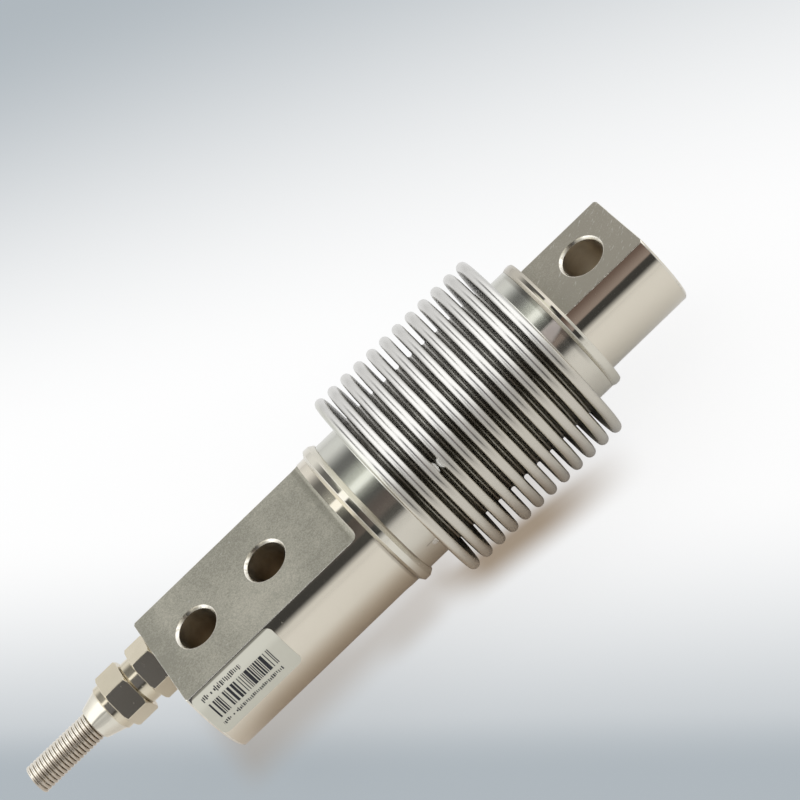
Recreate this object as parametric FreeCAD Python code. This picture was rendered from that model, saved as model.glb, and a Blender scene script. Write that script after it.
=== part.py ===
import FreeCAD, Part
import math
import os

# A bellows load cell: a one-piece bending beam, sealed by a metal bellows, with a cable gland at its
# fixed end. Sizes are in millimetres. Pieces are drawn about the beam's own axis, which is X, from the
# fixed end face at X = 0 towards the load end. They are then set down together, with the middle of the
# two fixing holes at X = 0 and the lower fixing face at Z = 0.

# Beam ends
fixed_end_diameter = 31.8
fixed_end_thickness = 19.3
fixed_flat_length = 44.2
fixed_flat_end_radius = 1.3
round_band_width = 1.8
load_end_diameter = 25.4
load_end_thickness = 19.0
end_edge_chamfer = 0.4

# Bolt holes
bolt_hole_diameter = 8.4
bolt_hole_chamfer = 0.5
bolt_hole_margin = 9.7
fixing_hole_spacing = 18.0
load_hole_distance = 82.6

# Measuring section of the beam: two crosswise bores, joined by a slot, leave a thin web above and below
# each bore
beam_width = 15.0
beam_height = 21.0
beam_root_margin = 1.2
web_bore_diameter = 12.0
web_bore_spacing = 22.0
web_slot_height = 6.0

# Bellows
crest_diameter = 44.3
crest_width = 2.3
crest_land = 1.1
crest_bevel_turn = 45.0
root_diameter = 31.4
convolution_pitch = 3.4
convolution_count = 12
bellows_wall = 0.25
fixed_cuff_diameter = 31.7
fixed_cuff_length = 8.35
load_cuff_diameter = 30.1
load_cuff_length = 3.8
cuff_fit = 0.02

# Weld rings: one round the fixed cuff's end, one beside the load cuff's end
fixed_ring_start_wall = 0.03
fixed_ring_wall = 1.08
fixed_ring_end_wall = 0.43
fixed_ring_lead = 0.75
fixed_ring_band = 1.25
fixed_ring_slope = 1.05
load_ring_wall = 0.5
load_ring_edge_wall = 0.15
load_ring_width = 2.2
load_ring_edge = 0.7
ring_fit = 0.02

# Cable gland, set to one side so that the wire channel passes the fixing holes
gland_offset = 10.2
gland_hex_size = 11.0
gland_hex_chamfer = 0.55
hex_chamfer_turn = 30.0
hex_sides = 6
body_hex_turn = 46.0
nut_hex_turn = 54.0
socket_diameter = 8.0
socket_depth = 8.0
spigot_length = 7.0
thread_fit = 0.05
sealing_washer_diameter = 10.6
sealing_washer_thickness = 1.0
body_hex_length = 4.8
neck_diameter = 9.8
neck_length = 2.25
nut_gap = 0.2
nut_hex_length = 5.35
nut_step_diameter = 10.4
nut_step_length = 1.5
nut_cone_diameter = 9.9
nut_nose_diameter = 7.3
nut_cone_length = 4.3
gland_thread_diameter = 8.6
gland_thread_length = 4.0
cable_bore_diameter = 4.8
seal_chamber_diameter = 6.4
seal_bore_diameter = 4.4
seal_length = 5.0
seal_chamfer = 0.4
seal_fit = 0.05
thrust_washer_diameter = 8.2
thrust_washer_thickness = 0.6

# Strain relief spring, close wound from wire and drawn with a six-sided wire section
spring_diameter = 6.3
spring_wire_diameter = 0.82
spring_wire_sides = 6
spring_pitch = 0.865
spring_free_length = 16.5
spring_pocket_depth = 2.4
spring_fit = 0.1

# Wire channel, and the resin plug cast in it round the cable's cores
wire_channel_diameter = 3.6
plug_length = 10.0
plug_fit = 0.02
core_hole_diameter = 0.9
core_circle_diameter = 1.9
core_count = 4

# Strain gauges, one over each thin web
gauge_length = 8.0
gauge_width = 6.0
gauge_film = 0.1
foil_thickness = 0.05
strand_count = 6
strand_pitch = 0.55
strand_width = 0.25
strand_length = 3.6
loop_length = 0.4
tab_length = 1.4
tab_width = 1.5
tab_spacing = 2.6
bond_gap = 0.02

# Solder terminals and trimming resistors on the beam between the gauges
terminal_length = 3.6
terminal_width = 10.0
terminal_thickness = 0.4
pad_count = 5
pad_pitch = 1.9
pad_length = 2.6
pad_width = 1.2
pad_height = 0.1
resistor_length = 1.6
resistor_width = 3.2
resistor_height = 0.6
resistor_cap_width = 0.5
resistor_cap_step = 0.05
resistor_gap = 0.5
resistor_offset = 4.6

# Bridge wires, soldered from pad to pad
wire_diameter = 0.3
wire_sides = 6
wire_rise = 0.6
wire_rise_share = 0.3
wire_gap = 0.02
link_clearance = 0.3

# Label on the near side of the fixed end, its middle turned down from the top by an angle
label_length = 20.2
label_width = 10.5
label_thickness = 0.1
label_corner_radius = 1.4
label_end_margin = 0.4
label_turn = 72.6
label_bond = 0.02

# Places along the beam
shoulder_x = fixed_flat_length + round_band_width
first_crest_x = shoulder_x + fixed_cuff_length + crest_width / 2
last_crest_x = first_crest_x + (convolution_count - 1) * convolution_pitch
load_cuff_x = last_crest_x + crest_width / 2
load_cuff_end_x = load_cuff_x + load_cuff_length
load_shoulder_x = load_cuff_end_x + load_ring_width
fixed_seat_diameter = fixed_cuff_diameter - 2 * (bellows_wall + cuff_fit)
load_seat_diameter = load_cuff_diameter - 2 * (bellows_wall + cuff_fit)
beam_start_x = first_crest_x - crest_width / 2 - beam_root_margin
beam_end_x = load_cuff_x + beam_root_margin
beam_middle_x = (beam_start_x + beam_end_x) / 2
web_places = (beam_middle_x - web_bore_spacing / 2, beam_middle_x + web_bore_spacing / 2)
body_length = 2 * bolt_hole_margin + fixing_hole_spacing + load_hole_distance
outer_hole_x = bolt_hole_margin
inner_hole_x = outer_hole_x + fixing_hole_spacing
load_hole_x = inner_hole_x + load_hole_distance

# Places along the gland, which points away from the fixed end
hex_base_x = -sealing_washer_thickness
neck_base_x = hex_base_x - body_hex_length
neck_end_x = neck_base_x - neck_length
nut_base_x = neck_end_x - nut_gap
thread_end_x = neck_end_x - gland_thread_length
seal_end_x = thread_end_x - seal_fit
seal_base_x = seal_end_x + seal_length
thrust_x = seal_end_x - thrust_washer_thickness
web_x = thrust_x - seal_fit
step_base_x = nut_base_x - nut_hex_length
cone_base_x = step_base_x - nut_step_length
nose_x = cone_base_x - nut_cone_length
pocket_x = nose_x + spring_pocket_depth

origin = FreeCAD.Vector(0, 0, 0)
along = FreeCAD.Vector(1, 0, 0)
upward = FreeCAD.Vector(0, 0, 1)
gland_axis = FreeCAD.Vector(0, gland_offset, 0)
frame_shift = FreeCAD.Vector(-(outer_hole_x + inner_hole_x) / 2, 0, fixed_end_thickness / 2)


def turned(points, axis=origin):
    # A solid of revolution about the beam's direction, from a half section given as (x, diameter) points.
    corners = [FreeCAD.Vector(x, 0, diameter / 2) for x, diameter in points]
    section = Part.Face(Part.makePolygon(corners + corners[:1]))
    solid = section.revolve(origin, along, 360)
    solid.translate(axis)
    return solid


def tube(x0, x1, outer, inner, axis=origin):
    return turned([(x0, inner), (x1, inner), (x1, outer), (x0, outer)], axis)


def rod(x0, x1, diameter, axis=origin):
    return Part.makeCylinder(diameter / 2, x1 - x0, FreeCAD.Vector(x0, 0, 0) + axis, along)


def block(x, y, z, length, width, height):
    # A block centred on x and y, standing on z.
    return Part.makeBox(length, width, height, FreeCAD.Vector(x - length / 2, y - width / 2, z))


def hexagon(x0, x1, size, turn, chamfer):
    # A hexagon bar about the gland's axis, its corners turned down by a chamfer at both ends.
    corner = size / (2 * math.cos(math.pi / hex_sides))
    points = []
    for step in range(hex_sides + 1):
        angle = math.radians(turn) + 2 * math.pi * step / hex_sides
        points.append(FreeCAD.Vector(x0, corner * math.cos(angle), corner * math.sin(angle)))
    bar = Part.Face(Part.makePolygon(points)).extrude(FreeCAD.Vector(x1 - x0, 0, 0))
    round_end = 2 * (corner - chamfer)
    slope = chamfer * math.tan(math.radians(hex_chamfer_turn))
    low, high = min(x0, x1), max(x0, x1)
    turned_bar = turned([(low, 0), (low, round_end), (low + slope, 2 * corner), (high - slope, 2 * corner),
                         (high, round_end), (high, 0)])
    bar = bar.common(turned_bar)
    bar.translate(gland_axis)
    return bar


def above_and_below(shape):
    return shape.fuse(shape.mirror(origin, upward))


def bolt_hole(x, thickness):
    half = thickness / 2
    radius = bolt_hole_diameter / 2
    mouth = radius + bolt_hole_chamfer
    land = half - bolt_hole_chamfer
    section = [(0, -half), (mouth, -half), (radius, -land), (radius, land), (mouth, half), (0, half)]
    corners = [FreeCAD.Vector(x + r, 0, z) for r, z in section]
    face = Part.Face(Part.makePolygon(corners + corners[:1]))
    return face.revolve(FreeCAD.Vector(x, 0, 0), upward, 360)


def fixed_flat_cut():
    # What the mill takes off above the fixed end's flat, with the cutter's radius left at its inner end.
    face_z = fixed_end_thickness / 2
    top_z = fixed_end_diameter
    wide = fixed_end_diameter
    end_x = fixed_flat_length
    radius = fixed_flat_end_radius
    arc_middle = FreeCAD.Vector(end_x - radius + radius * math.sin(math.pi / 4), -wide,
                                face_z + radius - radius * math.cos(math.pi / 4))
    a = FreeCAD.Vector(-wide, -wide, face_z)
    b = FreeCAD.Vector(end_x - radius, -wide, face_z)
    c = FreeCAD.Vector(end_x, -wide, face_z + radius)
    d = FreeCAD.Vector(end_x, -wide, top_z)
    e = FreeCAD.Vector(-wide, -wide, top_z)
    edges = [Part.LineSegment(a, b).toShape(), Part.Arc(b, arc_middle, c).toShape()]
    edges += [Part.LineSegment(p, q).toShape() for p, q in ((c, d), (d, e), (e, a))]
    return Part.Face(Part.Wire(edges)).extrude(FreeCAD.Vector(0, 2 * wide, 0))


def load_flat_cut():
    wide = load_end_diameter
    corner = FreeCAD.Vector(load_shoulder_x, -wide, load_end_thickness / 2)
    return Part.makeBox(body_length, 2 * wide, wide, corner)


def web_cut():
    # Two crosswise bores and the slot between them, through the measuring section.
    wide = fixed_end_diameter
    across = FreeCAD.Vector(0, 1, 0)
    bores = [Part.makeCylinder(web_bore_diameter / 2, 2 * wide, FreeCAD.Vector(x, -wide, 0), across)
             for x in web_places]
    slot = block(beam_middle_x, 0, -web_slot_height / 2, web_bore_spacing, 2 * wide, web_slot_height)
    return slot.multiFuse(bores)


def make_spring_element():
    chamfer = end_edge_chamfer
    fixed_end = turned([(0, 0), (0, fixed_end_diameter - 2 * chamfer), (chamfer, fixed_end_diameter),
                        (shoulder_x, fixed_end_diameter), (shoulder_x, fixed_seat_diameter),
                        (beam_start_x, fixed_seat_diameter), (beam_start_x, 0)])
    load_end = turned([(beam_end_x, 0), (beam_end_x, load_seat_diameter),
                       (load_shoulder_x, load_seat_diameter), (load_shoulder_x, load_end_diameter),
                       (body_length - chamfer, load_end_diameter),
                       (body_length, load_end_diameter - 2 * chamfer), (body_length, 0)])
    fixed_end = fixed_end.cut(above_and_below(fixed_flat_cut()))
    load_end = load_end.cut(above_and_below(load_flat_cut()))
    beam = block(beam_middle_x, 0, -beam_height / 2, beam_end_x - beam_start_x, beam_width, beam_height)
    body = fixed_end.multiFuse([beam, load_end])
    cuts = [bolt_hole(outer_hole_x, fixed_end_thickness), bolt_hole(inner_hole_x, fixed_end_thickness),
            bolt_hole(load_hole_x, load_end_thickness), web_cut(),
            rod(0, socket_depth, socket_diameter, gland_axis),
            rod(socket_depth, beam_start_x, wire_channel_diameter, gland_axis)]
    for cut in cuts:
        body = body.cut(cut)
    return body.removeSplitter()


def bellows_side(inset):
    # The outline of one side of the bellows' wall, moved inwards by an inset, as (x, diameter) points.
    bevel_turn = math.radians(crest_bevel_turn)
    bevel_depth = (crest_width - crest_land) / 2 * math.tan(bevel_turn)
    half_land = crest_land / 2 - inset * math.tan(bevel_turn / 2)
    half_width = crest_width / 2 - inset
    crest = crest_diameter - 2 * inset
    bevel = crest_diameter - 2 * (bevel_depth + inset * math.tan((math.pi / 2 - bevel_turn) / 2))
    root = root_diameter - 2 * inset
    fixed_cuff = fixed_cuff_diameter - 2 * inset
    load_cuff = load_cuff_diameter - 2 * inset
    points = [(shoulder_x, fixed_cuff)]
    for step in range(convolution_count):
        x = first_crest_x + step * convolution_pitch
        start = fixed_cuff if step == 0 else root
        end = load_cuff if step == convolution_count - 1 else root
        points += [(x - half_width, start), (x - half_width, bevel), (x - half_land, crest),
                   (x + half_land, crest), (x + half_width, bevel), (x + half_width, end)]
    points.append((load_cuff_end_x, load_cuff))
    return points


def make_bellows():
    inner_side = bellows_side(bellows_wall)
    return turned(bellows_side(0) + inner_side[::-1])


def make_fixed_weld_ring():
    bore = fixed_cuff_diameter + 2 * ring_fit
    start = bore + 2 * fixed_ring_start_wall
    band = bore + 2 * fixed_ring_wall
    end = bore + 2 * fixed_ring_end_wall
    band_x = shoulder_x + fixed_ring_lead
    slope_x = band_x + fixed_ring_band
    end_x = slope_x + fixed_ring_slope
    return turned([(shoulder_x, bore), (shoulder_x, start), (band_x, band), (slope_x, band),
                   (end_x, end), (end_x, bore)])


def make_load_weld_ring():
    bore = load_seat_diameter + 2 * ring_fit
    band = bore + 2 * load_ring_wall
    edge = bore + 2 * load_ring_edge_wall
    return turned([(load_cuff_end_x, bore), (load_cuff_end_x, edge), (load_cuff_end_x + load_ring_edge, band),
                   (load_shoulder_x - load_ring_edge, band), (load_shoulder_x, edge), (load_shoulder_x, bore)])


def make_gland_sealing_washer():
    return tube(hex_base_x, 0, sealing_washer_diameter, socket_diameter, gland_axis)


def make_gland_body():
    hexagon_bar = hexagon(hex_base_x, neck_base_x, gland_hex_size, body_hex_turn, gland_hex_chamfer)
    spigot = rod(hex_base_x, spigot_length, socket_diameter - 2 * thread_fit, gland_axis)
    neck = rod(neck_end_x, neck_base_x, neck_diameter, gland_axis)
    thread = rod(thread_end_x, neck_end_x, gland_thread_diameter, gland_axis)
    body = hexagon_bar.multiFuse([spigot, neck, thread])
    body = body.cut(rod(thread_end_x, spigot_length, cable_bore_diameter, gland_axis))
    return body.cut(rod(thread_end_x, seal_base_x, seal_chamber_diameter, gland_axis)).removeSplitter()


def make_gland_seal():
    outer = seal_chamber_diameter - 2 * seal_fit
    base_x = seal_base_x - seal_fit
    return turned([(seal_end_x, seal_bore_diameter), (base_x, seal_bore_diameter),
                   (base_x, outer - 2 * seal_chamfer), (base_x - seal_chamfer, outer),
                   (seal_end_x, outer)], gland_axis)


def make_gland_thrust_washer():
    return tube(thrust_x, seal_end_x, thrust_washer_diameter, cable_bore_diameter, gland_axis)


def make_gland_nut():
    hexagon_bar = hexagon(step_base_x, nut_base_x, gland_hex_size, nut_hex_turn, gland_hex_chamfer)
    nose = turned([(step_base_x, 0), (step_base_x, nut_step_diameter), (cone_base_x, nut_step_diameter),
                   (cone_base_x, nut_cone_diameter), (nose_x, nut_nose_diameter), (nose_x, 0)], gland_axis)
    nut = hexagon_bar.fuse(nose)
    nut = nut.cut(rod(web_x, nut_base_x, gland_thread_diameter + 2 * thread_fit, gland_axis))
    nut = nut.cut(rod(nose_x, web_x, cable_bore_diameter, gland_axis))
    return nut.cut(rod(nose_x, pocket_x, spring_diameter + 2 * spring_fit, gland_axis)).removeSplitter()


def make_strain_relief_spring():
    # The wire's section is swept along a helix, from the bottom of the nut's pocket to the free end.
    coil_radius = (spring_diameter - spring_wire_diameter) / 2
    wire_radius = spring_wire_diameter / 2
    length = spring_free_length + spring_pocket_depth - spring_fit - spring_wire_diameter
    helix = Part.makeLongHelix(spring_pitch, length, coil_radius)
    section = []
    for side in range(spring_wire_sides + 1):
        angle = math.pi * (2 * side + 1) / spring_wire_sides
        out = coil_radius + wire_radius * math.cos(angle)
        section.append(FreeCAD.Vector(out, 0, wire_radius * math.sin(angle)))
    coil = Part.Wire(helix.Edges).makePipeShell([Part.makePolygon(section)], True, True)
    coil.rotate(origin, FreeCAD.Vector(0, 1, 0), -90)
    coil.translate(FreeCAD.Vector(pocket_x - spring_fit - wire_radius, 0, 0) + gland_axis)
    return coil


def make_potting_plug():
    plug_x = socket_depth
    plug = rod(plug_x, plug_x + plug_length, wire_channel_diameter - 2 * plug_fit, gland_axis)
    for core in range(core_count):
        angle = 2 * math.pi * core / core_count
        away = FreeCAD.Vector(0, math.cos(angle), math.sin(angle)) * (core_circle_diameter / 2)
        plug = plug.cut(rod(plug_x, plug_x + plug_length, core_hole_diameter, gland_axis + away))
    return plug


def face_z(thickness_above=0.0):
    # Height over the beam's upper face, past the film of glue.
    return beam_height / 2 + bond_gap + thickness_above


def tab_place(web_x_place):
    # Where a gauge's solder tabs lie along the beam, on the side that faces the terminals.
    towards = 1 if web_x_place < beam_middle_x else -1
    return web_x_place + towards * (strand_length / 2 + loop_length + tab_length / 2), towards


def make_gauge(place):
    film = block(place, 0, face_z(), gauge_length, gauge_width, gauge_film)
    foil_z = face_z(gauge_film)
    first_y = -(strand_count - 1) * strand_pitch / 2
    foil = []
    for strand in range(strand_count):
        strand_y = first_y + strand * strand_pitch
        foil.append(block(place, strand_y, foil_z, strand_length, strand_width, foil_thickness))
    loop_width = strand_pitch + strand_width
    tab_x, towards = tab_place(place)
    for strand in range(strand_count - 1):
        end = -towards if strand % 2 == 0 else towards
        loop_x = place + end * (strand_length + loop_length) / 2
        loop_y = first_y + strand * strand_pitch + strand_pitch / 2
        foil.append(block(loop_x, loop_y, foil_z, loop_length, loop_width, foil_thickness))
    neck_x = place + towards * (strand_length + loop_length) / 2
    for side in (-1, 1):
        foil.append(block(tab_x, side * tab_spacing / 2, foil_z, tab_length, tab_width, foil_thickness))
        foil.append(block(neck_x, side * -first_y, foil_z, loop_length, strand_width, foil_thickness))
    return film.multiFuse(foil).removeSplitter()


def pad_y(pad):
    return (pad - (pad_count - 1) / 2) * pad_pitch


def make_terminal_strip():
    strip = block(beam_middle_x, 0, face_z(), terminal_length, terminal_width, terminal_thickness)
    pads = [block(beam_middle_x, pad_y(pad), face_z(terminal_thickness), pad_length, pad_width, pad_height)
            for pad in range(pad_count)]
    return strip.multiFuse(pads).removeSplitter()


def make_resistor(side_x, side_y):
    x = beam_middle_x + side_x * (terminal_length / 2 + resistor_gap + resistor_length / 2)
    y = side_y * resistor_offset
    body = block(x, y, face_z(resistor_cap_step), resistor_length, resistor_width, resistor_height)
    cap_offset = (resistor_width - resistor_cap_width) / 2
    cap_height = resistor_height + 2 * resistor_cap_step
    caps = [block(x, y + end * cap_offset, face_z(), resistor_length, resistor_cap_width, cap_height)
            for end in (-1, 1)]
    return body.multiFuse(caps).removeSplitter()


def wire_along(points):
    # A wire with a many-sided section, swept along straight runs with mitred corners.
    path = Part.makePolygon(points)
    run = (points[1] - points[0]).normalize()
    side = FreeCAD.Rotation(along, run).multVec(upward) * (wire_diameter / 2)
    section = []
    for corner in range(wire_sides + 1):
        turn = FreeCAD.Rotation(run, 360 * corner / wire_sides)
        section.append(points[0] + turn.multVec(side))
    return path.makePipeShell([Part.makePolygon(section)], True, False, 1)


def make_gauge_wires():
    # Two wires from each gauge's tabs, each in a low arch over to its terminal pad.
    wires = []
    lift = wire_diameter / 2 + wire_gap
    for place in web_places:
        tab_x, towards = tab_place(place)
        for side in (-1, 1):
            pad = (pad_count - 1) / 2 + side * (1 if towards > 0 else 2)
            start = FreeCAD.Vector(tab_x, side * tab_spacing / 2,
                                   face_z(gauge_film + foil_thickness) + lift)
            end = FreeCAD.Vector(beam_middle_x - towards * pad_length / 4, pad_y(pad),
                                 face_z(terminal_thickness + pad_height) + lift)
            rise = upward * wire_rise
            step = (end - start) * wire_rise_share
            wires.append(wire_along([start, start + step + rise, end - step + rise, end]))
    return Part.makeCompound(wires)


def make_link_wires():
    # A link on each side carries the bridge round the beam, from an upper terminal to the lower one.
    wires = []
    x = beam_middle_x - pad_length / 4
    top_z = face_z(terminal_thickness + pad_height) + wire_diameter / 2 + wire_gap
    for side in (-1, 1):
        start_y = side * pad_y(pad_count - 1)
        side_y = side * (beam_width / 2 + link_clearance)
        route = [(start_y, top_z), (side_y, top_z), (side_y, -top_z), (start_y, -top_z)]
        wires.append(wire_along([FreeCAD.Vector(x, y, z) for y, z in route]))
    return Part.makeCompound(wires)


def make_label():
    # A thin curved sheet on the fixed end's round side, cut to a rectangle with round corners.
    inner = fixed_end_diameter + 2 * label_bond
    sheet = tube(label_end_margin, label_end_margin + label_length, inner + 2 * label_thickness, inner)
    blank = block(label_end_margin + label_length / 2, 0, 0, label_length, label_width, fixed_end_diameter)
    corners = [edge for edge in blank.Edges if edge.BoundBox.ZLength > blank.BoundBox.ZLength / 2]
    blank = blank.makeFillet(label_corner_radius, corners)
    blank.rotate(origin, along, label_turn)
    return sheet.common(blank)


def under(shape):
    # The same piece on the beam's lower face.
    return shape.mirror(origin, upward)


def make_pieces():
    near_gauge, far_gauge = [make_gauge(place) for place in web_places]
    terminals = make_terminal_strip()
    gauge_wires = make_gauge_wires()
    return {
        "spring_element": make_spring_element(),
        "bellows": make_bellows(),
        "fixed_weld_ring": make_fixed_weld_ring(),
        "load_weld_ring": make_load_weld_ring(),
        "upper_fixed_gauge": near_gauge,
        "upper_load_gauge": far_gauge,
        "lower_fixed_gauge": under(near_gauge),
        "lower_load_gauge": under(far_gauge),
        "upper_terminal_strip": terminals,
        "lower_terminal_strip": under(terminals),
        "span_resistor_near": make_resistor(1, -1),
        "span_resistor_far": make_resistor(1, 1),
        "zero_trim_resistor": under(make_resistor(1, -1)),
        "upper_gauge_wires": gauge_wires,
        "lower_gauge_wires": under(gauge_wires),
        "bridge_link_wires": make_link_wires(),
        "potting_plug": make_potting_plug(),
        "gland_sealing_washer": make_gland_sealing_washer(),
        "gland_body": make_gland_body(),
        "gland_seal": make_gland_seal(),
        "gland_thrust_washer": make_gland_thrust_washer(),
        "gland_nut": make_gland_nut(),
        "strain_relief_spring": make_strain_relief_spring(),
        "label": make_label(),
    }


os.makedirs("parts", exist_ok=True)
for name, piece in make_pieces().items():
    piece.translate(frame_shift)
    piece.exportStep("parts/" + name + ".step")
    print(name, len(piece.Solids), piece.isValid(), round(piece.Volume, 2))
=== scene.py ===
import math
import bmesh
import bpy
from mathutils import Matrix, Vector, noise


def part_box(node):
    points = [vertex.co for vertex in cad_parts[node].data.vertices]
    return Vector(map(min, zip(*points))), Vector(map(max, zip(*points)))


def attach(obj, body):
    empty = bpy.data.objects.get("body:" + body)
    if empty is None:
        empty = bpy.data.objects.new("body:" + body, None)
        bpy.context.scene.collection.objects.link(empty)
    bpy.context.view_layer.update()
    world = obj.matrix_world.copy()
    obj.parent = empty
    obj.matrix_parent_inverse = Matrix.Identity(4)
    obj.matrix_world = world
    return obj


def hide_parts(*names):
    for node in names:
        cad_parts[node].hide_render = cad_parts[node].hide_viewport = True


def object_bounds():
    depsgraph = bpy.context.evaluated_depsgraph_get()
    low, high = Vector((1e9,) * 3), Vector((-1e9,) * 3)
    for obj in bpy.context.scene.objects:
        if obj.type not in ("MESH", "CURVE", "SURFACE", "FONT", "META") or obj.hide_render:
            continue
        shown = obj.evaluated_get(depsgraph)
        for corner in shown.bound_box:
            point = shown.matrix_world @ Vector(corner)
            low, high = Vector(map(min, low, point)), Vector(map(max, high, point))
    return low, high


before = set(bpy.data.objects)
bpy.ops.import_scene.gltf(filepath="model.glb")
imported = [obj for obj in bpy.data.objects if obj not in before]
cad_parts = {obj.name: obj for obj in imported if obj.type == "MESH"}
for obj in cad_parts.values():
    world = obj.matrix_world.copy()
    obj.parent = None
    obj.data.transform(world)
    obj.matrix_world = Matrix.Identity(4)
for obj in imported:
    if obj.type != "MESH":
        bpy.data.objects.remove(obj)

scene = bpy.context.scene
cadLow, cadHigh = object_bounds()
mm = 0.001
sheetLow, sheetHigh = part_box("bellows")
washerLow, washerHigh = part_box("gland_sealing_washer")
axisZ = (sheetLow.z + sheetHigh.z) / 2  # the beam's axis over the lower fixing face
endX = washerHigh.x  # the fixed end's face
glandY = (washerLow.y + washerHigh.y) / 2
flatEnd = endX + 44.2 * mm  # the fixed flat ends here
fixedRingStart, fixedRingEnd = (corner.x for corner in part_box("fixed_weld_ring"))
loadRingStart, loadRingEnd = (corner.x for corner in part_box("load_weld_ring"))
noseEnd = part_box("gland_nut")[0].x + 4.1 * mm  # the nut's taper ends here
print("frame loaded,", len(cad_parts), "nodes")


class Val:  # a socket that can stand in an expression
    def __init__(self, tree, socket):
        self.tree = tree
        self.socket = socket

    def __add__(self, other):
        return self.tree.math("ADD", self, other)

    def __radd__(self, other):
        return self.tree.math("ADD", other, self)

    def __sub__(self, other):
        return self.tree.math("SUBTRACT", self, other)

    def __rsub__(self, other):
        return self.tree.math("SUBTRACT", other, self)

    def __mul__(self, other):
        return self.tree.math("MULTIPLY", self, other)

    def __rmul__(self, other):
        return self.tree.math("MULTIPLY", other, self)

    def __truediv__(self, other):
        return self.tree.math("DIVIDE", self, other)

    def __rtruediv__(self, other):
        return self.tree.math("DIVIDE", other, self)

    def __neg__(self):
        return self.tree.math("MULTIPLY", self, -1.0)

    def __abs__(self):
        return self.tree.math("ABSOLUTE", self)

    def __gt__(self, other):
        return self.tree.math("GREATER_THAN", self, other)

    def __lt__(self, other):
        return self.tree.math("LESS_THAN", self, other)


class Tree:  # a node tree that grows by expressions
    def __init__(self, nodeTree):
        self.nodeTree = nodeTree

    def node(self, kind, settings=None, sockets=None):
        made = self.nodeTree.nodes.new(kind)
        for name, value in (settings or {}).items():
            if name == "stops":
                while len(made.color_ramp.elements) < len(value):
                    made.color_ramp.elements.new(1.0)
                for element, (place, colour) in zip(made.color_ramp.elements, value):
                    element.position = place
                    element.color = colour
            else:
                setattr(made, name, value)
        for key, value in (sockets or {}).items():
            if isinstance(value, Val):
                self.nodeTree.links.new(value.socket, made.inputs[key])
            else:
                made.inputs[key].default_value = value
        return made

    def out(self, made, key=0):
        return Val(self, made.outputs[key])

    def math(self, kind, *values):
        return self.out(self.node("ShaderNodeMath", {"operation": kind}, dict(enumerate(values))))

    def smooth(self, value, low, high):  # 0 below low, 1 above high, eased between
        made = self.node("ShaderNodeMapRange", {"interpolation_type": "SMOOTHSTEP"},
                         {"Value": value, "From Min": low, "From Max": high})
        return self.out(made)

    def within(self, value, low, high, ease):
        return self.smooth(value, low - ease, low + ease) * (1 - self.smooth(value, high - ease, high + ease))

    def blend(self, share, first, second):  # colours
        made = self.node("ShaderNodeMix", {"data_type": "RGBA"}, {0: share, 6: first, 7: second})
        return self.out(made, 2)

    def axes(self, vector):
        made = self.node("ShaderNodeSeparateXYZ", {}, {0: vector})
        return self.out(made, 0), self.out(made, 1), self.out(made, 2)

    def vector(self, x, y, z):
        return self.out(self.node("ShaderNodeCombineXYZ", {}, {0: x, 1: y, 2: z}))


class Finish(Tree):  # a material
    def __init__(self, name):
        self.material = bpy.data.materials.new(name)
        self.material.use_nodes = True
        self.material.node_tree.nodes.clear()
        super().__init__(self.material.node_tree)
        self.place = self.out(self.node("ShaderNodeTexCoord"), "Object")

    def noise(self, scale, detail=3.0, rough=0.55, vector=None):
        made = self.node("ShaderNodeTexNoise", {}, {"Vector": vector or self.place, "Scale": scale,
                                                    "Detail": detail, "Roughness": rough})
        return self.out(made, 0)

    def streaks(self, x, y, z, detail=2, rough=0.5):  # noise with a scale of its own along each axis
        return self.noise(1.0, detail, rough, self.vector(x, y, z))

    def turned(self):  # along the beam, round it and away from its axis
        x, y, z = self.axes(self.place)
        up = z - axisZ
        return x, self.math("ARCTAN2", -y, up) * (180 / math.pi), self.math("SQRT", y * y + up * up)

    def bump(self, height, strength, distance, normal=None):
        sockets = {"Height": height, "Strength": strength, "Distance": distance}
        if normal:
            sockets["Normal"] = normal
        return self.out(self.node("ShaderNodeBump", {}, sockets))

    def shader(self, **sockets):
        named = {key.replace("_", " "): value for key, value in sockets.items()}
        return self.out(self.node("ShaderNodeBsdfPrincipled", {}, named))

    def close(self, surface):
        self.node("ShaderNodeOutputMaterial", {}, {"Surface": surface})
        return self.material

    def metal(self, colour, rough, normal):
        return self.close(self.shader(Base_Color=colour, Metallic=1.0, Roughness=rough, Normal=normal))


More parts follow.
